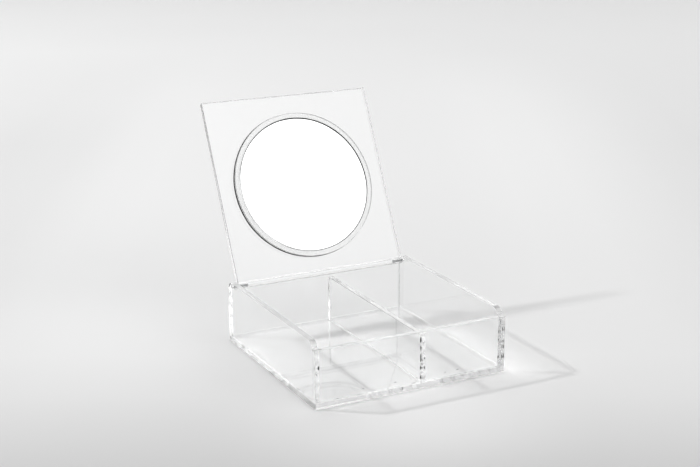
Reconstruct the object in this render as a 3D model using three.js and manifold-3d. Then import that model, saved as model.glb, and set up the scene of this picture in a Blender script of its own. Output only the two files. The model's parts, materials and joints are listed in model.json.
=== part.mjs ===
// Clear acrylic make-up case: an open-topped box with two compartments and a hinged
// lid that carries a round mirror on its inner face. Millimetres, +Z up.
// Origin: centre of the underside. +X to the user's right, -Y towards the user.
// The lid stands open, leaning back on the top edge of the back wall.
import * as THREE from 'three';
import { mergeVertices } from 'three/addons/utils/BufferGeometryUtils.js';
import Module from 'manifold-3d';

// ---- driving dimensions -------------------------------------------------------------
const CASE_W = 180;            // overall width, X
const CASE_D = 180;            // overall depth, Y
const SHEET_T = 5;             // every acrylic panel is cut from the same sheet
const SIDE_TOP = 56.5;         // top edge of the side walls
const FRONT_TOP = 50.4;        // top edge of the front wall, which the closed lid rests on
const BACK_TOP = 53.4;         // top edge of the back wall, which the open lid leans on
const DIVIDER_TOP = 47.0;      // lower than the front wall, to clear the mirror's ring
const DIVIDER_X = 10.8;        // divider's mid-plane, right of centre
const CORNER_R = 8;            // rounded top corners of the side walls
const GLUE = 0.1;              // glue line between bonded faces

const LID_W = 168;             // lid width, between the side walls
const LID_L = 174.3;           // lid length, hinge edge to front edge
const LID_T = SHEET_T;
const HINGE_Y = 81.8;          // hinge axis
const HINGE_Z = 53.0;
const HINGE_EDGE = 2.5;        // hinge axis to the lid's full-round hinge edge
const OPEN_DEG = 117;          // closed to open

const PIN_R = 1.1;             // hinge pins
const PIN_HOLE_R = 1.2;        // running clearance in the side walls
const PIN_OUTER_X = 89.7;      // pin's outer end, just inside the side wall's face
const PIN_INNER_X = 74.6;      // pin's inner end, in the lid's edge bore
const BORE_END_X = 74.2;       // bottom of the bore in the lid's edge

const RING_RO = 68.6;          // clear ring round the mirror
const RING_RI = 64.0;
const RING_H = 2.8;
const MIRROR_R = 63.8;
const MIRROR_T = 1.3;
const TAPE_R = 61.0;           // adhesive disc behind the mirror
const TAPE_T = 0.3;

// ---- materials ------------------------------------------------------------------------
const acrylic = () => new THREE.MeshStandardMaterial({
  color: 0xf4f7f8, roughness: 0.04, metalness: 0, transparent: true, opacity: 0.3 });
const silvered = () => new THREE.MeshStandardMaterial({ color: 0xf6f7f8, roughness: 0.02, metalness: 1 });
const tape = () => new THREE.MeshStandardMaterial({ color: 0xe9eaea, roughness: 0.7, metalness: 0 });
const steel = () => new THREE.MeshStandardMaterial({ color: 0x8d9093, roughness: 0.3, metalness: 1 });

// ---- solids ---------------------------------------------------------------------------
const wasm = await Module();
wasm.setup();

function toManifold(geometry) {
  const g = geometry.clone();
  for (const name of Object.keys(g.attributes)) if (name !== 'position') g.deleteAttribute(name);
  g.clearGroups();
  const m = mergeVertices(g, 1e-4);
  return new wasm.Manifold(new wasm.Mesh({
    numProp: 3,
    vertProperties: new Float32Array(m.attributes.position.array),
    triVerts: new Uint32Array(m.index.array),
  }));
}

function toGeometry(manifold) {
  const mesh = manifold.getMesh();
  const g = new THREE.BufferGeometry();
  g.setAttribute('position', new THREE.BufferAttribute(new Float32Array(mesh.vertProperties), 3));
  g.setIndex(new THREE.BufferAttribute(new Uint32Array(mesh.triVerts), 1));
  g.computeVertexNormals();
  return g;
}

function named(name, geometry, material) {
  const mesh = new THREE.Mesh(geometry, material);
  mesh.name = name;
  return mesh;
}

// a flat panel between two corners
function panel(name, x0, x1, y0, y1, z0, z1) {
  const mesh = named(name, new THREE.BoxGeometry(x1 - x0, y1 - y0, z1 - z0), acrylic());
  mesh.position.set((x0 + x1) / 2, (y0 + y1) / 2, (z0 + z1) / 2);
  return mesh;
}

// an outline in Y and Z, extruded along X from x0 to x1
function alongX(shape, x0, x1, curveSegments = 12) {
  const g = new THREE.ExtrudeGeometry(shape, { depth: x1 - x0, bevelEnabled: false, curveSegments });
  g.applyMatrix4(new THREE.Matrix4().makeBasis(
    new THREE.Vector3(0, 1, 0), new THREE.Vector3(0, 0, 1), new THREE.Vector3(1, 0, 0)));
  g.translate(x0, 0, 0);
  return g;
}

// a round bar along X
function barAlongX(radius, x0, x1, y, z, segments = 32) {
  const g = new THREE.CylinderGeometry(radius, radius, x1 - x0, segments);
  g.rotateZ(Math.PI / 2);
  g.translate((x0 + x1) / 2, y, z);
  return g;
}

const halfW = CASE_W / 2;
const halfD = CASE_D / 2;
const floorTop = SHEET_T;
const wallFoot = floorTop + GLUE;
const caseGroup = new THREE.Group();

// base plate, with every wall standing on it
caseGroup.add(panel('base_plate', -halfW, halfW, -halfD, halfD, 0, floorTop));

// the front wall runs the full width, across the ends of the side walls
caseGroup.add(panel('front_wall', -halfW, halfW, -halfD, -halfD + SHEET_T, wallFoot, FRONT_TOP));

// side walls: rounded top corners front and back, and a hole for the hinge pin
function sideWall(name, x0, x1) {
  const y0 = -halfD + SHEET_T + GLUE;
  const y1 = halfD;
  const r = CORNER_R;
  const s = new THREE.Shape();
  s.moveTo(y0, wallFoot);
  s.lineTo(y1, wallFoot);
  s.lineTo(y1, SIDE_TOP - r);
  s.absarc(y1 - r, SIDE_TOP - r, r, 0, Math.PI / 2, false);
  s.lineTo(y0 + r, SIDE_TOP);
  s.absarc(y0 + r, SIDE_TOP - r, r, Math.PI / 2, Math.PI, false);
  s.closePath();
  const body = toManifold(alongX(s, x0, x1, 16));
  const hole = toManifold(barAlongX(PIN_HOLE_R, x0 - 2, x1 + 2, HINGE_Y, HINGE_Z));
  return named(name, toGeometry(body.subtract(hole)), acrylic());
}
caseGroup.add(sideWall('left_side_wall', -halfW, -halfW + SHEET_T));
caseGroup.add(sideWall('right_side_wall', halfW - SHEET_T, halfW));

// the back wall stands between the side walls
caseGroup.add(panel('back_wall', -halfW + SHEET_T + GLUE, halfW - SHEET_T - GLUE,
  halfD - SHEET_T, halfD, wallFoot, BACK_TOP));

// the divider runs from the front wall to the back wall
caseGroup.add(panel('divider', DIVIDER_X - SHEET_T / 2, DIVIDER_X + SHEET_T / 2,
  -halfD + SHEET_T + GLUE, halfD - SHEET_T - GLUE, wallFoot, DIVIDER_TOP));

// ---- lid, drawn closed about the hinge axis, then turned open --------------------------
const lidGroup = new THREE.Group();
lidGroup.position.set(0, HINGE_Y, HINGE_Z);
lidGroup.rotation.x = -OPEN_DEG * Math.PI / 180;

const inner = -LID_T / 2;      // inner face, carrying the mirror
const lidFront = HINGE_EDGE - LID_L;
const lidMid = HINGE_EDGE - LID_L / 2;

const lidOutline = new THREE.Shape();
lidOutline.moveTo(lidFront, -LID_T / 2);
lidOutline.lineTo(0, -LID_T / 2);
lidOutline.absarc(0, 0, LID_T / 2, -Math.PI / 2, Math.PI / 2, false);
lidOutline.lineTo(lidFront, LID_T / 2);
lidOutline.closePath();
const lidSolid = toManifold(alongX(lidOutline, -LID_W / 2, LID_W / 2, 20));
const boreRight = toManifold(barAlongX(PIN_HOLE_R, BORE_END_X, LID_W / 2 + 5, 0, 0));
const boreLeft = toManifold(barAlongX(PIN_HOLE_R, -LID_W / 2 - 5, -BORE_END_X, 0, 0));
lidGroup.add(named('lid_panel', toGeometry(lidSolid.subtract(boreRight).subtract(boreLeft)), acrylic()));

// hinge pins, fixed in the lid's edge and turning in the side walls
function pin(name, side) {
  const x0 = side > 0 ? PIN_INNER_X : -PIN_OUTER_X;
  const x1 = side > 0 ? PIN_OUTER_X : -PIN_INNER_X;
  return named(name, barAlongX(PIN_R, x0, x1, 0, 0), steel());
}
lidGroup.add(pin('hinge_pin_left', -1));
lidGroup.add(pin('hinge_pin_right', 1));

// a body of revolution about the mirror's axis; profile is (radius, height off the inner face)
function onLid(name, profile, segments, material) {
  const g = new THREE.LatheGeometry(profile.map(([r, h]) => new THREE.Vector2(r, h)), segments);
  g.rotateX(-Math.PI / 2);     // height now runs along -Z, out of the inner face
  const mesh = named(name, g, material);
  mesh.position.set(0, lidMid, inner);
  return mesh;
}
const ringFoot = GLUE;
const ringTop = RING_H;
const c = 0.35;                // small polished chamfer on the ring's visible edges
lidGroup.add(onLid('mirror_ring', [
  [RING_RI, ringFoot], [RING_RO, ringFoot], [RING_RO, ringTop - c], [RING_RO - c, ringTop],
  [RING_RI + c, ringTop], [RING_RI, ringTop - c], [RING_RI, ringFoot],
], 96, acrylic()));
const tapeTop = GLUE + TAPE_T;
lidGroup.add(onLid('mirror_tape', [[0, GLUE], [TAPE_R, GLUE], [TAPE_R, tapeTop], [0, tapeTop]], 72, tape()));
const mirrorFoot = tapeTop + GLUE;
const mirrorTop = mirrorFoot + MIRROR_T;
lidGroup.add(onLid('mirror_glass', [[0, mirrorFoot], [MIRROR_R, mirrorFoot],
  [MIRROR_R, mirrorTop], [0, mirrorTop]], 96, silvered()));

const assembly = new THREE.Group();
assembly.add(caseGroup, lidGroup);
export default assembly;
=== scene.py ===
import json
import math
import random

import bmesh
import bpy
from mathutils import Matrix, Vector


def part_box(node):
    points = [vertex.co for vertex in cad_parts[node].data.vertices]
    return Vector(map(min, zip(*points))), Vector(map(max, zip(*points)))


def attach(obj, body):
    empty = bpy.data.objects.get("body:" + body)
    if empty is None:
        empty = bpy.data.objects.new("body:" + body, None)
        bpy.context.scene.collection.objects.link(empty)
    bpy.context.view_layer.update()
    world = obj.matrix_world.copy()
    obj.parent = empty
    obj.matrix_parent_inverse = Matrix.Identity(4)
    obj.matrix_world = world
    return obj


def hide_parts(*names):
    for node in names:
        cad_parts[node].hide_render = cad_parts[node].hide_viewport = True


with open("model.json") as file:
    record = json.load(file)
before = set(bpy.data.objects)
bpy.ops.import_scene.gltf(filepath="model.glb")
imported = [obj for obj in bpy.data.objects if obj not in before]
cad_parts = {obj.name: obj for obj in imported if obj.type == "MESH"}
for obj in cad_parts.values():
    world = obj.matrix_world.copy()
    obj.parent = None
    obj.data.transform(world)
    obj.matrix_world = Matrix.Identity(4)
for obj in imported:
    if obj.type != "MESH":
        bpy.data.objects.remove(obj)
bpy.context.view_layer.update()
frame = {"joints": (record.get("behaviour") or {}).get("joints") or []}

MM = 0.001
scene = bpy.context.scene

# ------------------------------------------------------------------ sizes, from the frame
base_lo, base_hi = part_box("base_plate")
front_lo, front_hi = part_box("front_wall")
left_lo, left_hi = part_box("left_side_wall")
right_lo, right_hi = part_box("right_side_wall")
back_lo, back_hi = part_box("back_wall")
div_lo, div_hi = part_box("divider")
T = base_hi.z - base_lo.z                     # sheet thickness
HALF_W = base_hi.x
HALF_D = base_hi.y
hinge = [j for j in frame["joints"] if j["name"] == "lid_hinge"][0]
HINGE = Vector(hinge["pos_m"])
OPEN = math.radians(hinge["range_deg"][1])    # closed to open
LID = Matrix.Translation(HINGE) @ Matrix.Rotation(-OPEN, 4, "X")   # lid's own frame: closed, about the hinge
LID_W = 2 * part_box("lid_panel")[1].x
LID_T = T
LID_L = 174.3 * MM
LID_REAR = 2.5 * MM
PIN_R = 1.1 * MM
HOLE_R = 1.2 * MM
WELD = 0.01 * MM                              # bonded faces meet this far inside each other


# ------------------------------------------------------------------ materials
class Nodes:
    """A small helper to write a node tree."""

    def __init__(self, name):
        self.mat = bpy.data.materials.new(name)
        self.mat.use_nodes = True
        self.nt = self.mat.node_tree
        self.nt.nodes.clear()
        self.out = self.add("ShaderNodeOutputMaterial")

    def add(self, kind, **props):
        n = self.nt.nodes.new(kind)
        for k, v in props.items():
            setattr(n, k, v)
        return n

    def link(self, a, b):
        self.nt.links.new(a, b)

    def set(self, node, **values):
        for k, v in values.items():
            node.inputs[k.replace("_", " ")].default_value = v
        return node


def coords(n, scale=(1, 1, 1)):
    tc = n.add("ShaderNodeTexCoord")
    mp = n.add("ShaderNodeMapping")
    mp.inputs["Scale"].default_value = scale
    n.link(tc.outputs["Object"], mp.inputs["Vector"])
    return mp.outputs["Vector"]


def noise(n, vec, scale, detail=2.0, rough=0.5):
    t = n.add("ShaderNodeTexNoise")
    t.inputs["Scale"].default_value = scale
    t.inputs["Detail"].default_value = detail
    t.inputs["Roughness"].default_value = rough
    n.link(vec, t.inputs["Vector"])
    return t.outputs["Fac"]


def ramp(n, fac, stops):
    r = n.add("ShaderNodeValToRGB")
    while len(r.color_ramp.elements) < len(stops):
        r.color_ramp.elements.new(0.5)
    for e, (p, c) in zip(r.color_ramp.elements, stops):
        e.position = p
        e.color = (c, c, c, 1) if not isinstance(c, tuple) else (*c, 1)
    n.link(fac, r.inputs["Fac"])
    return r.outputs["Color"]


def maprange(n, val, a, b, c, d):
    m = n.add("ShaderNodeMapRange")
    for k, v in zip(("From Min", "From Max", "To Min", "To Max"), (a, b, c, d)):
        m.inputs[k].default_value = v
    n.link(val, m.inputs["Value"])
    return m.outputs["Result"]


def acrylic(name, rough_lo, rough_hi, shadow, wave_scale=(1, 1, 1), wave=0.00002, wave_size=40.0, clear=1.0, tint=(0.991, 0.993, 0.993)):
    """Clear acrylic: polished, very slightly wavy, with faint rubbed haze. Lamps pass through it, dimmed."""
    n = Nodes(name)
    p = n.add("ShaderNodeBsdfPrincipled")
    # clear below 1 leaves a share of white diffuse: on the edges that use it this is painted highlight
    p.inputs["Transmission Weight"].default_value = clear
    p.inputs["IOR"].default_value = 1.49
    p.inputs["Metallic"].default_value = 0.0
    vec = coords(n, wave_scale)
    # haze: fine handling marks, in patches
    patches = noise(n, vec, 28.0, 3.0, 0.55)
    fine = noise(n, vec, 900.0, 2.0, 0.6)
    mix = n.add("ShaderNodeMath", operation="MULTIPLY")
    n.link(patches, mix.inputs[0])
    n.link(fine, mix.inputs[1])
    n.link(maprange(n, mix.outputs[0], 0.15, 0.55, rough_lo, rough_hi), p.inputs["Roughness"])
    # a dark tint is painted shade on the edges that take it
    col = ramp(n, noise(n, vec, 12.0, 2.0), [(0.0, tuple(min(1.0, c + 0.005) for c in tint)), (1.0, tint)])
    n.link(col, p.inputs["Base Color"])
    bump = n.add("ShaderNodeBump")
    bump.inputs["Strength"].default_value = 1.0
    bump.inputs["Distance"].default_value = wave
    n.link(noise(n, vec, wave_size, 2.0, 0.45), bump.inputs["Height"])
    n.link(bump.outputs["Normal"], p.inputs["Normal"])
    lp = n.add("ShaderNodeLightPath")
    tr = n.add("ShaderNodeBsdfTransparent")
    tr.inputs["Color"].default_value = (shadow, shadow, shadow, 1)
    ms = n.add("ShaderNodeMixShader")
    n.link(lp.outputs["Is Shadow Ray"], ms.inputs[0])
    n.link(p.outputs[0], ms.inputs[1])
    n.link(tr.outputs[0], ms.inputs[2])
    n.link(ms.outputs[0], n.out.inputs["Surface"])
    return n.mat


M_SHEET = acrylic("acrylic_sheet", 0.0, 0.004, 0.87, wave=0.000008)
# painted highlight: the polished edges keep a tenth of white diffuse (clear=0.90), so they read bright the way light
# piped along them does
M_EDGE_PAINTED_HIGHLIGHT = acrylic("acrylic_polished_edge_painted_highlight", 0.0, 0.006, 0.16, wave=0.000003, wave_size=60.0, clear=0.90)
# painted highlight: the walls' top edges are four tenths white diffuse (clear=0.60), standing in for the light piped
# into them
M_TOP_PAINTED_HIGHLIGHT = acrylic("acrylic_top_edge_painted_highlight", 0.0, 0.02, 0.16, wave=0.000003, wave_size=60.0, clear=0.60)
# painted shade: cut edges picked by the way they face are tinted mid grey
M_SIDE_EDGE_PAINTED_SHADE = acrylic("acrylic_side_edge_painted_shade", 0.0, 0.02, 0.16, wave=0.000003, wave_size=60.0, clear=0.95, tint=(0.50, 0.505, 0.505))
# painted shade: the base plate's lower left arris is tinted near black to draw a dark line along it
M_ARRIS_PAINTED_SHADE = acrylic("acrylic_lower_arris_painted_shade", 0.0, 0.02, 0.16, wave=0.000003, wave_size=60.0, clear=0.95, tint=(0.16, 0.162, 0.163))
M_RING = acrylic("acrylic_ring", 0.0, 0.01, 0.85, wave=0.000004, wave_size=80.0, tint=(0.915, 0.917, 0.916))


def mirror_face():
    n = Nodes("mirror_silver")
    p = n.add("ShaderNodeBsdfPrincipled")
    p.inputs["Metallic"].default_value = 1.0
    vec = coords(n)
    n.link(ramp(n, noise(n, vec, 9.0), [(0.3, (0.93, 0.935, 0.935)), (0.7, (0.955, 0.96, 0.96))]), p.inputs["Base Color"])
    n.link(maprange(n, noise(n, vec, 60.0, 3.0), 0.3, 0.75, 0.0, 0.018), p.inputs["Roughness"])
    n.link(p.outputs[0], n.out.inputs["Surface"])
    return n.mat


def plain(name, lo, hi, rough_lo, rough_hi, scale, metal=0.0, bump=0.0, bump_scale=600.0, stretch=(1, 1, 1), ior=1.5):
    n = Nodes(name)
    p = n.add("ShaderNodeBsdfPrincipled")
    p.inputs["Metallic"].default_value = metal
    p.inputs["IOR"].default_value = ior
    vec = coords(n, stretch)
    n.link(ramp(n, noise(n, vec, scale, 4.0, 0.6), [(0.3, lo), (0.72, hi)]), p.inputs["Base Color"])
    n.link(maprange(n, noise(n, vec, scale * 2.3, 3.0), 0.3, 0.7, rough_lo, rough_hi), p.inputs["Roughness"])
    if bump:
        b = n.add("ShaderNodeBump")
        b.inputs["Strength"].default_value = 1.0
        b.inputs["Distance"].default_value = bump
        n.link(noise(n, vec, bump_scale, 3.0, 0.6), b.inputs["Height"])
        n.link(b.outputs["Normal"], p.inputs["Normal"])
    n.link(p.outputs[0], n.out.inputs["Surface"])
    return n.mat


M_MIRROR = mirror_face()
# painted shade: the mirror's ground edge and the band inside the ring are near black, standing in for the ring's inner
# wall's shade and dark reflection
M_MIRROR_EDGE_PAINTED_SHADE = plain("mirror_ground_edge_painted_shade", (0.012, 0.014, 0.014), (0.05, 0.055, 0.055), 0.35, 0.6, 300.0, bump=0.00003)
M_MIRROR_BACK = plain("mirror_back_paint", (0.34, 0.35, 0.36), (0.42, 0.43, 0.44), 0.45, 0.65, 120.0, bump=0.00002, bump_scale=900.0)
M_TAPE = plain("mirror_tape_film", (0.84, 0.845, 0.845), (0.875, 0.875, 0.875), 0.5, 0.7, 400.0, bump=0.00003, bump_scale=700.0)
M_PIN = plain("pin_steel", (0.16, 0.165, 0.17), (0.34, 0.345, 0.35), 0.22, 0.42, 900.0, metal=1.0, bump=0.00001, bump_scale=2500.0, stretch=(0.08, 1, 1))
M_VOID = plain("weld_bubble_dark", (0.015, 0.015, 0.016), (0.07, 0.07, 0.072), 0.1, 0.3, 1500.0)
M_FROTH = plain("weld_bubble_pale", (0.86, 0.87, 0.87), (0.97, 0.97, 0.97), 0.25, 0.5, 1500.0)


# ------------------------------------------------------------------ mesh helpers
def finish_mesh(bm, name, mats, matrix=None, smooth_angle=32.0):
    bmesh.ops.recalc_face_normals(bm, faces=bm.faces)
    me = bpy.data.meshes.new(name)
    bm.to_mesh(me)
    bm.free()
    for m in mats:
        me.materials.append(m)
    if matrix is not None:
        me.transform(matrix)
    me.shade_smooth()
    me.set_sharp_from_angle(angle=math.radians(smooth_angle))
    me.update()
    o = bpy.data.objects.new(name, me)
    scene.collection.objects.link(o)
    return o


def box_bm(lo, hi):
    bm = bmesh.new()
    bmesh.ops.create_cube(bm, size=1.0)
    for v in bm.verts:
        v.co = Vector([lo[i] + (v.co[i] + 0.5) * (hi[i] - lo[i]) for i in range(3)])
    return bm


def bevel(bm, pick, width, segments=3):
    edges = [e for e in bm.edges if pick((e.verts[0].co + e.verts[1].co) / 2, (e.verts[1].co - e.verts[0].co).normalized())]
    if edges:
        bmesh.ops.bevel(bm, geom=edges, offset=width, offset_type="OFFSET", segments=segments, profile=0.5, affect="EDGES", clamp_overlap=True)


def near(a, b, tol=0.02 * MM):
    return abs(a - b) < tol


def mark_edges(bm, thin_axis, welds=(), top=True):
    """Broad and welded faces keep slot 0; the cut edges take slot 1, and the walls' top edges slot 2."""
    bm.normal_update()
    for f in bm.faces:
        c = f.calc_center_median()
        welded = any(near(c[i], v) for i, v in welds)
        f.material_index = 0 if welded or abs(f.normal[thin_axis]) > 0.985 else 2 if top and f.normal.z > 0.5 else 1


def remark(bm, index, pick):
    """Cut edges picked by the way they face take their own slot, for the edges tinted with painted shade."""
    for f in bm.faces:
        if f.material_index == 1 and pick(f.normal):
            f.material_index = index


def prism_bm(outline, x0, x1):
    """An outline in (y, z) pulled along X."""
    bm = bmesh.new()
    a = [bm.verts.new((x0, y, z)) for y, z in outline]
    b = [bm.verts.new((x1, y, z)) for y, z in outline]
    bm.faces.new(a[::-1])
    bm.faces.new(b)
    n = len(outline)
    for i in range(n):
        j = (i + 1) % n
        bm.faces.new((a[i], a[j], b[j], b[i]))
    bmesh.ops.recalc_face_normals(bm, faces=bm.faces)
    return bm


def lathe_bm(profile, segments, axis="Z"):
    """A closed profile of (radius, height) turned about an axis."""
    bm = bmesh.new()
    rings = []
    for r, h in profile:
        if r < 1e-9:
            rings.append([bm.verts.new((0, 0, h))])
        else:
            rings.append([bm.verts.new((r * math.cos(2 * math.pi * i / segments), r * math.sin(2 * math.pi * i / segments), h)) for i in range(segments)])
    m = len(rings)
    closed = profile[0][0] > 1e-9 and profile[-1][0] > 1e-9
    for k in range(m if closed else m - 1):
        a, b = rings[k], rings[(k + 1) % m]
        for i in range(segments):
            j = (i + 1) % segments
            if len(a) == 1 and len(b) == 1:
                continue
            if len(a) == 1:
                bm.faces.new((a[0], b[i], b[j]))
            elif len(b) == 1:
                bm.faces.new((a[i], a[j], b[0]))
            else:
                bm.faces.new((a[i], a[j], b[j], b[i]))
    if axis == "X":
        bmesh.ops.rotate(bm, verts=bm.verts, cent=(0, 0, 0), matrix=Matrix.Rotation(math.pi / 2, 3, "Y"))
    bmesh.ops.recalc_face_normals(bm, faces=bm.faces)
    return bm


def cut(obj, cutters):
    """Booleans, applied, then the cutters are removed."""
    for c in cutters:
        m = obj.modifiers.new("cut", "BOOLEAN")
        m.operation = "DIFFERENCE"
        m.solver = "EXACT"
        m.object = c
        bpy.context.view_layer.update()
        dg = bpy.context.evaluated_depsgraph_get()
        me = bpy.data.meshes.new_from_object(obj.evaluated_get(dg))
        obj.modifiers.clear()
        old = obj.data
        obj.data = me
        bpy.data.meshes.remove(old)
        bpy.data.objects.remove(c)
    obj.data.shade_smooth()
    obj.data.set_sharp_from_angle(angle=math.radians(32))
    return obj


def arc(cy, cz, r, a0, a1, steps):
    return [(cy + r * math.cos(math.radians(a0 + (a1 - a0) * i / steps)), cz + r * math.sin(math.radians(a0 + (a1 - a0) * i / steps))) for i in range(steps + 1)]


EDGE_R = 0.45 * MM            # polished edges are slightly rounded


def place(o, body, node):
    wn = o.modifiers.new("flat faces stay flat", "WEIGHTED_NORMAL")
    wn.mode = "FACE_AREA"
    wn.weight = 100
    wn.keep_sharp = True
    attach(o, body)
    if node:
        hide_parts(node)
    return o


# ------------------------------------------------------------------ the case
X, Y, Z = 0, 1, 2

# base plate: polished all round its lower edge
bm = box_bm(base_lo, base_hi)
bevel(bm, lambda c, d: abs(d.z) > 0.9, EDGE_R)
bevel(bm, lambda c, d: near(c.z, base_lo.z), 0.7 * MM, 4)
mark_edges(bm, Z, top=False)
# painted shade: the base's left end face takes the grey-tinted edge
remark(bm, 2, lambda n: n.x < -0.5)
# painted shade: the lower left arris takes the near-black tint
remark(bm, 3, lambda n: n.z < -0.3 and n.x < -0.2)
place(finish_mesh(bm, "base_plate_acrylic", [M_SHEET, M_EDGE_PAINTED_HIGHLIGHT, M_SIDE_EDGE_PAINTED_SHADE, M_ARRIS_PAINTED_SHADE]), "case", "base_plate")

# front wall: full width, welded to the base below and to the side walls behind its ends
lo = Vector((front_lo.x, front_lo.y, base_hi.z - WELD))
bm = box_bm(lo, front_hi)
bevel(bm, lambda c, d: near(c.z, front_hi.z) or (abs(d.z) > 0.9 and near(c.y, front_lo.y)), EDGE_R)
mark_edges(bm, Y, [(Z, lo.z)])
place(finish_mesh(bm, "front_wall_acrylic", [M_SHEET, M_EDGE_PAINTED_HIGHLIGHT, M_TOP_PAINTED_HIGHLIGHT]), "case", "front_wall")


def side_wall(lo, hi, name, node):
    y0 = front_hi.y - WELD
    y1 = hi.y
    z0 = base_hi.z - WELD
    z1 = hi.z
    r = 8 * MM
    outline = [(y0, z0), (y1, z0)] + arc(y1 - r, z1 - r, r, 0, 90, 24) + arc(y0 + r, z1 - r, r, 90, 180, 24)
    bm = prism_bm(outline, lo.x, hi.x)
    # the outline's own edges, on both faces, except along the two welded sides
    bevel(bm, lambda c, d: (near(c.x, lo.x) or near(c.x, hi.x)) and not near(c.z, z0) and not (near(c.y, y0) and c.z < front_hi.z) and abs(d.x) < 0.5, EDGE_R)
    mark_edges(bm, X, [(Y, y0), (Z, z0)])
    # painted shade: the rear end faces take the grey-tinted edge
    remark(bm, 3, lambda n: n.y > 0.5)
    o = finish_mesh(bm, name, [M_SHEET, M_EDGE_PAINTED_HIGHLIGHT, M_TOP_PAINTED_HIGHLIGHT, M_SIDE_EDGE_PAINTED_SHADE])
    ch = 0.2 * MM
    w = hi.x - lo.x
    prof = [(0, -1 * MM), (HOLE_R + ch + 1 * MM, -1 * MM), (HOLE_R, ch), (HOLE_R, w - ch), (HOLE_R + ch + 1 * MM, w + 1 * MM), (0, w + 1 * MM)]
    c = finish_mesh(lathe_bm(prof, 48, "X"), name + "_drill", [M_EDGE_PAINTED_HIGHLIGHT])
    c.data.transform(Matrix.Translation((lo.x, HINGE.y, HINGE.z)))
    return place(cut(o, [c]), "case", node)


side_wall(left_lo, left_hi, "left_wall_acrylic", "left_side_wall")
side_wall(right_lo, right_hi, "right_wall_acrylic", "right_side_wall")

# back wall, between the side walls
bm = box_bm(Vector((left_hi.x - WELD, back_lo.y, base_hi.z - WELD)), Vector((right_lo.x + WELD, back_hi.y, back_hi.z)))
bevel(bm, lambda c, d: near(c.z, back_hi.z), EDGE_R)
mark_edges(bm, Y, [(Z, base_hi.z - WELD), (X, left_hi.x - WELD), (X, right_lo.x + WELD)])
place(finish_mesh(bm, "back_wall_acrylic", [M_SHEET, M_EDGE_PAINTED_HIGHLIGHT, M_TOP_PAINTED_HIGHLIGHT]), "case", "back_wall")

# divider
bm = box_bm(Vector((div_lo.x, front_hi.y - WELD, base_hi.z - WELD)), Vector((div_hi.x, back_lo.y + WELD, div_hi.z)))
bevel(bm, lambda c, d: near(c.z, div_hi.z) and abs(d.y) > 0.9, EDGE_R)
mark_edges(bm, X, [(Z, base_hi.z - WELD), (Y, front_hi.y - WELD), (Y, back_lo.y + WELD)])
place(finish_mesh(bm, "divider_acrylic", [M_SHEET, M_EDGE_PAINTED_HIGHLIGHT, M_TOP_PAINTED_HIGHLIGHT]), "case", "divider")

# ------------------------------------------------------------------ the lid, drawn closed about the hinge
front = LID_REAR - LID_L
half = LID_T / 2
outline = [(front, -half), (0, -half)] + arc(0, 0, half, -90, 90, 24)[1:-1] + [(0, half), (front, half)]
bm = prism_bm(outline, -LID_W / 2, LID_W / 2)
bevel(bm, lambda c, d: near(c.y, front) or (near(abs(c.x), LID_W / 2) and abs(d.x) < 0.5), EDGE_R)
mark_edges(bm, Z, top=False)
# painted shade: the lid's left end face takes the grey-tinted edge
remark(bm, 2, lambda n: n.x < -0.5)
lid = finish_mesh(bm, "lid_acrylic", [M_SHEET, M_EDGE_PAINTED_HIGHLIGHT, M_SIDE_EDGE_PAINTED_SHADE])
cutters = []
for side in (-1, 1):
    depth = LID_W / 2 - 74.2 * MM
    ch = 0.2 * MM
    prof = [(0, 0), (HOLE_R, HOLE_R * 0.6), (HOLE_R, depth - ch), (HOLE_R + ch + 1 * MM, depth + 1 * MM), (0, depth + 1 * MM)]
    c = finish_mesh(lathe_bm(prof, 48, "X"), "bore", [M_EDGE_PAINTED_HIGHLIGHT])
    if side < 0:
        c.data.transform(Matrix.Rotation(math.pi, 4, "Z"))
        c.data.transform(Matrix.Translation((-74.2 * MM, 0, 0)))
    else:
        c.data.transform(Matrix.Translation((74.2 * MM, 0, 0)))
    cutters.append(c)
cut(lid, cutters)
lid.data.transform(LID)
place(lid, "lid", "lid_panel")

# mirror ring, mirror and the film behind it, all on the inner face
lid_mid = LID_REAR - LID_L / 2
ON_LID = LID @ Matrix.Translation((0, lid_mid, -half)) @ Matrix.Rotation(math.pi, 4, "X")   # +Z now points out of the inner face
RO, RI, RH = 68.6 * MM, 64.0 * MM, 2.8 * MM
c = 0.4 * MM
SEAT = 0.06 * MM        # the film of adhesive under the ring
prof = [(RI + 0.3 * MM, SEAT), (RO - 0.35 * MM, SEAT), (RO, SEAT + 0.35 * MM)]
prof.append((RO, RH - c))
for a in (15, 30, 45, 60, 75):
    prof.append((RO - c + c * math.cos(math.radians(a)), RH - c + c * math.sin(math.radians(a))))
prof.append((RO - c, RH))
prof.append((RI + c, RH))
for a in (75, 60, 45, 30, 15):
    prof.append((RI + c - c * math.cos(math.radians(a)), RH - c + c * math.sin(math.radians(a))))
prof.append((RI, RH - c))
prof.append((RI, 0.3 * MM))
place(finish_mesh(lathe_bm(prof, 256), "mirror_ring_acrylic", [M_RING], ON_LID), "lid", "mirror_ring")

m0, m1, MR = 0.5 * MM, 1.8 * MM, 63.8 * MM
ch = 0.45 * MM
prof = [(0, m0), (MR, m0), (MR, m1 - 0.2 * MM), (MR - ch, m1), (0, m1)]
bm = lathe_bm(prof, 256)
bm.normal_update()
for f in bm.faces:
    f.material_index = 0 if f.normal.z > 0.998 else 2 if f.normal.z < -0.9 else 1
place(finish_mesh(bm, "mirror_disc", [M_MIRROR, M_MIRROR_EDGE_PAINTED_SHADE, M_MIRROR_BACK], ON_LID), "lid", "mirror_glass")

t0, t1, TR = 0.02 * MM, 0.4 * MM, 61.0 * MM
prof = [(0, t0), (TR, t0), (TR + 0.05 * MM, (t0 + t1) / 2), (TR, t1), (0, t1)]
place(finish_mesh(lathe_bm(prof, 180), "mirror_film", [M_TAPE], ON_LID), "lid", "mirror_tape")

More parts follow.
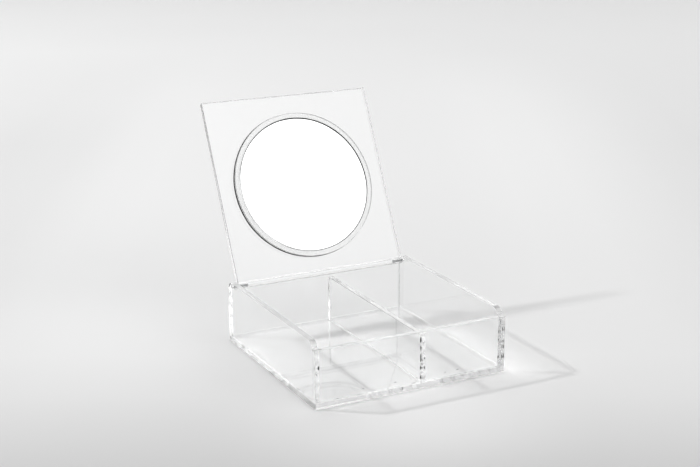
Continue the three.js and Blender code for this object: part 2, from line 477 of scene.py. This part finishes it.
# the fillet of adhesive round the ring's outer foot, thicker towards one side; its colour is painted shade, near black
# on the left and grey on the right
def bead_with_painted_shade():
    n = Nodes("ring_adhesive_painted_shade")
    p = n.add("ShaderNodeBsdfPrincipled")
    p.inputs["Roughness"].default_value = 0.3
    vec = coords(n)
    sep = n.add("ShaderNodeSeparateXYZ")
    n.link(vec, sep.inputs[0])
    # painted shade: darker towards the left (-X)
    side = maprange(n, sep.outputs["X"], -0.05, 0.06, 0.0, 1.0)
    mix = n.add("ShaderNodeMix", data_type="RGBA")
    n.link(side, mix.inputs[0])
    n.link(ramp(n, noise(n, vec, 120.0, 3.0), [(0.35, (0.015, 0.015, 0.016)), (0.7, (0.16, 0.16, 0.16))]), mix.inputs[6])
    n.link(ramp(n, noise(n, vec, 120.0, 3.0), [(0.35, (0.18, 0.18, 0.18)), (0.7, (0.50, 0.50, 0.50))]), mix.inputs[7])
    n.link(mix.outputs[2], p.inputs["Base Color"])
    n.link(p.outputs[0], n.out.inputs["Surface"])
    return n.mat


def fillet(name, r0, prof, amount, mat):
    """A bead run round a circle: offsets from r0 swell with the angle (0 to the right, 90 up on the open lid)."""
    bm = lathe_bm([(r0 + dr, h) for dr, h in prof], 256)
    for v in bm.verts:
        r = math.hypot(v.co.x, v.co.y)
        k = amount(math.atan2(v.co.y, v.co.x))
        v.co.x *= (r0 + (r - r0) * k) / r
        v.co.y *= (r0 + (r - r0) * k) / r
    o = finish_mesh(bm, name, [mat], ON_LID)
    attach(o, "lid")
    return o


def swell(at, low, high, power=1.0):
    return lambda t: low + high * max(0.0, math.cos(t - math.radians(at))) ** power * (1 + 0.10 * math.sin(9 * t) + 0.07 * math.sin(23 * t + 1))


fillet("ring_outer_adhesive_painted_shade", RO + 0.02 * MM, [(-0.05 * MM, 0.004 * MM), (0.62 * MM, 0.004 * MM), (0.44 * MM, 0.10 * MM), (0.22 * MM, 0.28 * MM), (0.07 * MM, 0.55 * MM), (-0.01 * MM, 0.62 * MM), (-0.03 * MM, 0.40 * MM)], swell(200, 0.60, 1.15, 1.2), bead_with_painted_shade())
# painted shade: a dark band inside the ring at the mirror's edge, wider towards the upper right
fillet("mirror_edge_painted_shade_band", RI - 0.02 * MM, [(0.01 * MM, m1 - 0.30 * MM), (-0.15 * MM, m1 - 0.05 * MM), (-0.75 * MM, m1 + 0.01 * MM), (-0.45 * MM, m1 + 0.10 * MM), (-0.16 * MM, m1 + 0.30 * MM), (0.0, m1 + 0.48 * MM)], swell(62, 0.72, 0.95), M_MIRROR_EDGE_PAINTED_SHADE)

# hinge pins
for side, name in ((-1, "left"), (1, "right")):
    x0, x1, ch = 74.6 * MM, 89.7 * MM, 0.25 * MM
    prof = [(0, x0), (PIN_R - ch, x0), (PIN_R, x0 + ch), (PIN_R, x1 - ch), (PIN_R - ch, x1), (0, x1)]
    bm = lathe_bm(prof, 48, "X")
    if side < 0:
        bmesh.ops.rotate(bm, verts=bm.verts, cent=(0, 0, 0), matrix=Matrix.Rotation(math.pi, 3, "Z"))
    place(finish_mesh(bm, "hinge_pin_" + name + "_steel", [M_PIN], LID), "lid", "hinge_pin_" + name)

# ------------------------------------------------------------------ solvent welds: trapped bubbles and beads of cement
def blobs(name, items, mat):
    """Small flattened beads in one mesh: each is (centre, (size x, y, z)), all in millimetres."""
    bm = bmesh.new()
    rng = random.Random(name)
    for (cx, cyy, cz), (sx, sy, sz) in items:
        ret = bmesh.ops.create_icosphere(bm, subdivisions=2, radius=0.5)
        k = rng.uniform(0, 6.28)
        for v in ret["verts"]:
            d = v.co.copy()
            w = 1 + 0.16 * math.sin(7 * d.x + k) * math.cos(6 * d.z - k) + 0.1 * math.sin(9 * d.y + 2 * k)
            v.co = Vector(((cx + d.x * sx * w) * MM, (cyy + d.y * sy * w) * MM, (cz + d.z * sz * w) * MM))
    o = finish_mesh(bm, name, [mat], smooth_angle=180)
    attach(o, "case")
    return o


rng = random.Random(64)


def row(start, end, step, size, jitter=0.3, skip=0.25, thick=0.12, normal=1, wide=0.55):
    """Beads along a line: long along it, thin across the weld plane."""
    a, b = Vector(start), Vector(end)
    n = max(1, int((b - a).length / step))
    ax = max(range(3), key=lambda i: abs((b - a)[i]))
    out = []
    for i in range(n):
        if rng.random() < skip:
            continue
        p = a.lerp(b, (i + 0.5 + rng.uniform(-0.3, 0.3)) / n)
        dims = [0, 0, 0]
        across = [i2 for i2 in range(3) if i2 not in (ax, normal)][0]
        dims[ax] = size * rng.uniform(0.7, 1.7)
        dims[across] = size * wide * rng.uniform(0.7, 1.3)
        dims[normal] = thick * rng.uniform(0.8, 1.3)
        p[across] += rng.uniform(-jitter, jitter)
        out.append((tuple(p), tuple(dims)))
    return out


def mmv(v):
    return v / MM


XI, XO = mmv(right_lo.x), mmv(right_hi.x)          # side walls' inner and outer faces
YJ = mmv(front_hi.y)                               # front wall's inner face
ZB = mmv(base_hi.z)                                # base plate's top
ZF, ZD = mmv(front_hi.z), mmv(div_hi.z)
D0, D1 = mmv(div_lo.x), mmv(div_hi.x)
YB = mmv(back_lo.y)
dark, pale = [], []
for sgn in (-1, 1):
    # front corners: bubbles along both edges of the weld
    dark += row((sgn * (XI + 0.5), YJ, ZB + 5), (sgn * (XI + 0.5), YJ, ZF - 10), 6.8, 2.3, 0.03, 0.05 if sgn > 0 else 0.8, wide=0.6)
    dark += row((sgn * (XO - 0.78), YJ, ZB + 4), (sgn * (XO - 0.78), YJ, ZF - 10), 7.0, 2.1, 0.02, 0.05 if sgn > 0 else 0.85, wide=0.4)
    pale += row((sgn * (XI + 2.3), YJ, ZB + 1), (sgn * (XI + 2.3), YJ, ZF - 2), 3.0, 2.0, 0.2, 0.2 if sgn > 0 else 0.8, wide=0.7 if sgn > 0 else 0.4)
    dark += row((sgn * XI, YB + 0.8, ZB + 6), (sgn * XI, YB + 0.8, 50), 4.5, 1.1, 0.15, 0.8, normal=0)
    dark += row((sgn * XI, YB + 4.2, ZB + 20), (sgn * XI, YB + 4.2, 51), 4.0, 1.1, 0.15, 0.75, normal=0)
    # side walls on the base plate
    dark += row((sgn * (XI + 0.5), -78, ZB), (sgn * (XI + 0.5), 84, ZB), 7.0, 1.5, 0.2, 0.55, normal=2)
    pale += row((sgn * (XO - 1.3), -84, ZB), (sgn * (XO - 1.3), 86, ZB), 9.0, 2.0, 0.4, 0.5, normal=2, wide=0.3)
    pale += row((sgn * (XI + 1.0), -84, ZB), (sgn * (XI + 1.0), 86, ZB), 9.0, 1.5, 0.3, 0.7, normal=2, wide=0.35)
# front wall on the base plate
dark += row((-82, YJ - 0.5, ZB), (86, YJ - 0.5, ZB), 9.5, 2.2, 0.3, 0.6, normal=2)
pale += row((-86, YJ - 2.5, ZB), (86, YJ - 2.5, ZB), 9.0, 1.7, 1.2, 0.62, normal=2, wide=0.35)
# divider to the front wall, to the back wall, and on the base plate
dark += row((D0 + 0.6, YJ, ZB + 2), (D0 + 0.6, YJ, ZD - 1), 6.5, 2.7, 0.2, 0.25)
dark += row((D1 - 0.7, YJ, ZB + 6), (D1 - 0.7, YJ, ZD - 4), 9.0, 2.3, 0.2, 0.4)
pale += row((D0 + 2.5, YJ, ZB + 2), (D0 + 2.5, YJ, ZD - 1), 4.0, 1.6, 0.9, 0.4)
dark += row((D0 + 0.6, YB, ZD - 16), (D0 + 0.6, YB, ZD - 1), 3.6, 2.0, 0.2, 0.3)
dark += row((D1 - 0.7, YB, ZD - 10), (D1 - 0.7, YB, ZD - 1), 3.6, 1.8, 0.2, 0.4)
dark += row((D0 + 0.5, -80, ZB), (D0 + 0.5, 82, ZB), 9.0, 1.5, 0.2, 0.6, normal=2)
pale += row((D0 + 2.5, -82, ZB), (D0 + 2.5, 84, ZB), 7.0, 1.8, 1.0, 0.5, normal=2)
# back wall on the base plate
pale += row((-80, YB + 2.5, ZB), (80, YB + 2.5, ZB), 8.0, 1.5, 1.2, 0.75, normal=2, wide=0.4)
dark += row((-80, YB + 0.6, ZB), (80, YB + 0.6, ZB), 8.0, 1.5, 0.2, 0.6, normal=2)
blobs("weld_bubbles", dark, M_VOID)
blobs("weld_froth", pale, M_FROTH)
# a little cement that ran out of the welds and set on the base plate
runs = row((-70, YJ + 8.5, ZB + 0.03), (78, YJ + 8.5, ZB + 0.03), 11.0, 1.9, 0.6, 0.62, thick=0.2, normal=2)
runs += row((D1 + 1.2, -70, ZB + 0.03), (D1 + 1.2, 70, ZB + 0.03), 18.0, 1.5, 0.3, 0.6, thick=0.2, normal=2)
blobs("cement_beads", runs, M_VOID)

# ------------------------------------------------------------------ floor, backdrop, light, camera
# painted shade: the sweep is greyer towards the front, at these distances behind the object's middle
FLOOR_SHADE_TONES = [((d + 1.0) / 4.0, v) for d, v in ((-0.9, 0.52), (-0.24, 0.60), (-0.17, 0.68), (-0.09, 0.76), (0.0, 0.80), (0.2, 0.82), (0.6, 0.86), (1.2, 0.90), (1.8, 0.92), (2.2, 0.93), (2.9, 0.93))]


# painted light and shade: the paper is darker at both far sides and palest a little right of the object
SIDE_PAINTED_LIGHT_TONES = [((u + 0.6) / 1.2, v / 1.05) for u, v in ((-0.50, 0.88), (-0.40, 0.92), (-0.33, 0.98), (-0.27, 1.0), (0.0, 1.0), (0.12, 1.02), (0.20, 1.05), (0.28, 1.05), (0.35, 1.02), (0.42, 0.98), (0.50, 0.95))]


def painted_light_pool(n, vec, centre, radius, low, high):
    """A soft round pool of painted light on the paper, paler than the rest."""
    m = n.add("ShaderNodeMapping")
    m.inputs["Location"].default_value = (-centre[0] / radius, -centre[1] / radius, 0)
    m.inputs["Scale"].default_value = (1 / radius, 1 / radius, 0)
    n.link(vec, m.inputs["Vector"])
    g = n.add("ShaderNodeTexGradient", gradient_type="SPHERICAL")
    n.link(m.outputs["Vector"], g.inputs["Vector"])
    r = n.add("ShaderNodeMapRange", interpolation_type="SMOOTHSTEP")
    n.link(g.outputs["Fac"], r.inputs["Value"])
    r.inputs["To Min"].default_value = low
    r.inputs["To Max"].default_value = high
    return r.outputs["Result"]


def sweep():
    """A white sweep: flat floor that curves up into the backdrop."""
    bm = bmesh.new()
    depth, rise, r = 3.6, 0.62, 0.6
    prof = [(-1.6, 0.0), (-0.8, 0.0), (0.0, 0.0), (1.2, 0.0), (2.2, 0.0), (depth - r, 0.0)]
    prof += [(depth - r + r * math.sin(math.radians(a)), r - r * math.cos(math.radians(a))) for a in range(5, 91, 5)]
    prof += [(depth, rise)]
    ca, sa = math.cos(math.radians(-27.1)), math.sin(math.radians(-27.1))
    rows = []
    for x in (-5.0, 5.0):
        rows.append([bm.verts.new((x * ca - y * sa, x * sa + y * ca, z)) for y, z in prof])
    for i in range(len(prof) - 1):
        bm.faces.new((rows[0][i], rows[1][i], rows[1][i + 1], rows[0][i + 1]))
    n = Nodes("white_sweep")
    p = n.add("ShaderNodeBsdfPrincipled")
    p.inputs["Roughness"].default_value = 0.75
    p.inputs["Specular IOR Level"].default_value = 0.25
    tc = n.add("ShaderNodeTexCoord")
    rot = n.add("ShaderNodeMapping")
    rot.inputs["Rotation"].default_value = (0, 0, math.radians(27.1))
    n.link(tc.outputs["Object"], rot.inputs["Vector"])
    sep = n.add("ShaderNodeSeparateXYZ")
    n.link(rot.outputs["Vector"], sep.inputs[0])
    along = maprange(n, sep.outputs["Y"], -1.0, 3.0, 0.0, 1.0)
    # painted shade, darker towards the front
    painted_front_shade = ramp(n, along, FLOOR_SHADE_TONES)
    grain = ramp(n, noise(n, rot.outputs["Vector"], 1.1, 2.0), [(0.3, 0.985), (0.7, 1.0)])
    mul = n.add("ShaderNodeMix", data_type="RGBA", blend_type="MULTIPLY")
    mul.inputs[0].default_value = 1.0
    n.link(painted_front_shade, mul.inputs[6])
    n.link(grain, mul.inputs[7])
    side = ramp(n, maprange(n, sep.outputs["X"], -0.6, 0.6, 0.0, 1.0), SIDE_PAINTED_LIGHT_TONES)
    wide = n.add("ShaderNodeMix", data_type="RGBA", blend_type="MULTIPLY")
    # the painted side light and shade matter near the object only; far back the paper is even
    even = n.add("ShaderNodeMix", data_type="RGBA", blend_type="MIX")
    n.link(maprange(n, sep.outputs["Y"], 0.85, 1.7, 0.0, 1.0), even.inputs[0])
    n.link(side, even.inputs[6])
    even.inputs[7].default_value = (1 / 1.05, 1 / 1.05, 1 / 1.05, 1)
    wide.inputs[0].default_value = 1.0
    n.link(mul.outputs[2], wide.inputs[6])
    n.link(even.outputs[2], wide.inputs[7])
    painted_light_gain = n.add("ShaderNodeMath", operation="MULTIPLY")
    # painted light: a pool in front of the case, and a second, fainter one
    n.link(painted_light_pool(n, rot.outputs["Vector"], (0.03, -0.14), 0.17, 1.05, 1.05 * 1.20), painted_light_gain.inputs[0])
    n.link(painted_light_pool(n, rot.outputs["Vector"], (-0.15, 0.09), 0.26, 1.0, 1.07), painted_light_gain.inputs[1])
    out = n.add("ShaderNodeMix", data_type="RGBA", blend_type="MULTIPLY")
    out.inputs[0].default_value = 1.0
    n.link(wide.outputs[2], out.inputs[6])
    n.link(painted_light_gain.outputs[0], out.inputs[7])
    n.link(out.outputs[2], p.inputs["Base Color"])
    n.link(p.outputs[0], n.out.inputs["Surface"])
    o = finish_mesh(bm, "floor_sweep", [n.mat], smooth_angle=60)
    if o.data.polygons[0].normal.z < 0:
        o.data.flip_normals()
    o.location.z = -0.0002      # the base touches at a few points only, so a film of air is left under it
    return o


sweep()


def lamp(name, where, target, size, watts, size_y=None, color=(1, 1, 1)):
    d = bpy.data.lights.new(name, "AREA")
    d.energy = watts
    d.shape = "RECTANGLE" if size_y else "DISK"
    d.size = size
    if size_y:
        d.size_y = size_y
    d.color = color
    o = bpy.data.objects.new(name, d)
    o.location = where
    o.rotation_euler = (Vector(target) - Vector(where)).to_track_quat("-Z", "Y").to_euler()
    scene.collection.objects.link(o)
    return o


KEY_POS = (-1.96, 1.30, 2.07)
lamp("key", KEY_POS, (0, 0, 0.05), 0.19, 33.0)

world = bpy.data.worlds.new("studio")
scene.world = world
world.use_nodes = True
wt = world.node_tree
wt.nodes.clear()
w_out = wt.nodes.new("ShaderNodeOutputWorld")
w_bg = wt.nodes.new("ShaderNodeBackground")
w_bg.inputs["Strength"].default_value = 1.0
wt.links.new(w_bg.outputs[0], w_out.inputs["Surface"])
w_tc = wt.nodes.new("ShaderNodeTexCoord")


def w_dot(direction, lo, hi):
    """1 where the sky direction is within the cone, falling to 0 outside it."""
    d = wt.nodes.new("ShaderNodeVectorMath")
    d.operation = "DOT_PRODUCT"
    nrm = wt.nodes.new("ShaderNodeVectorMath")
    nrm.operation = "NORMALIZE"
    wt.links.new(w_tc.outputs["Generated"], nrm.inputs[0])
    wt.links.new(nrm.outputs[0], d.inputs[0])
    d.inputs[1].default_value = Vector(direction).normalized()
    m = wt.nodes.new("ShaderNodeMapRange")
    m.interpolation_type = "SMOOTHSTEP"
    m.inputs["From Min"].default_value = lo
    m.inputs["From Max"].default_value = hi
    m.inputs["To Min"].default_value = 0.0
    m.inputs["To Max"].default_value = 1.0
    wt.links.new(d.outputs["Value"], m.inputs["Value"])
    return m.outputs["Result"]


def w_mix(fac, a, b):
    m = wt.nodes.new("ShaderNodeMix")
    m.data_type = "FLOAT"
    wt.links.new(fac, m.inputs[0])
    for i, v in ((2, a), (3, b)):
        if isinstance(v, float):
            m.inputs[i].default_value = v
        else:
            wt.links.new(v, m.inputs[i])
    return m.outputs[0]


ROOM = 0.63           # the white studio all round
BOX = 1.75            # the big softbox, front right and above
BACK = 1.05           # the backlit end of the studio, above the sweep
DARK = 0.30           # the dimmer side behind the camera
level = w_mix(w_dot((-0.44, -0.85, 0.25), 0.80, 0.97), ROOM, DARK)
level = w_mix(w_dot((0.44, 0.85, 0.35), 0.60, 0.90), level, BACK)
level = w_mix(w_dot((0.437, -0.733, 0.522), 0.90, 0.95), level, BOX)
comb = wt.nodes.new("ShaderNodeCombineColor")
for i in range(3):
    wt.links.new(level, comb.inputs[i])
wt.links.new(comb.outputs[0], w_bg.inputs["Color"])

cam_data = bpy.data.cameras.new("camera")
cam_data.sensor_width = 36.0
cam_data.lens = 71.685
cam_data.clip_start = 0.05
cam = bpy.data.objects.new("camera", cam_data)
scene.collection.objects.link(cam)
az, el, roll = math.radians(27.1282), math.radians(16.4515), math.radians(-0.1383)
fwd = Vector((math.sin(az) * math.cos(el), math.cos(az) * math.cos(el), -math.sin(el)))
rt = Vector((math.cos(az), -math.sin(az), 0))
up = rt.cross(fwd)
r2 = math.cos(roll) * rt + math.sin(roll) * up
u2 = -math.sin(roll) * rt + math.cos(roll) * up
cam.matrix_world = Matrix(((r2.x, u2.x, -fwd.x, -0.53679), (r2.y, u2.y, -fwd.y, -1.023646), (r2.z, u2.z, -fwd.z, 0.453713), (0, 0, 0, 1)))
scene.camera = cam

scene.view_settings.view_transform = "Standard"
scene.view_settings.look = "None"
cy = scene.cycles
cy.max_bounces = 64
cy.transmission_bounces = 64
cy.glossy_bounces = 64
cy.diffuse_bounces = 4
cy.transparent_max_bounces = 24
cy.caustics_refractive = True
cy.caustics_reflective = True
cy.blur_glossy = 0.5
cy.sample_clamp_indirect = 8.0
cy.use_denoising = True
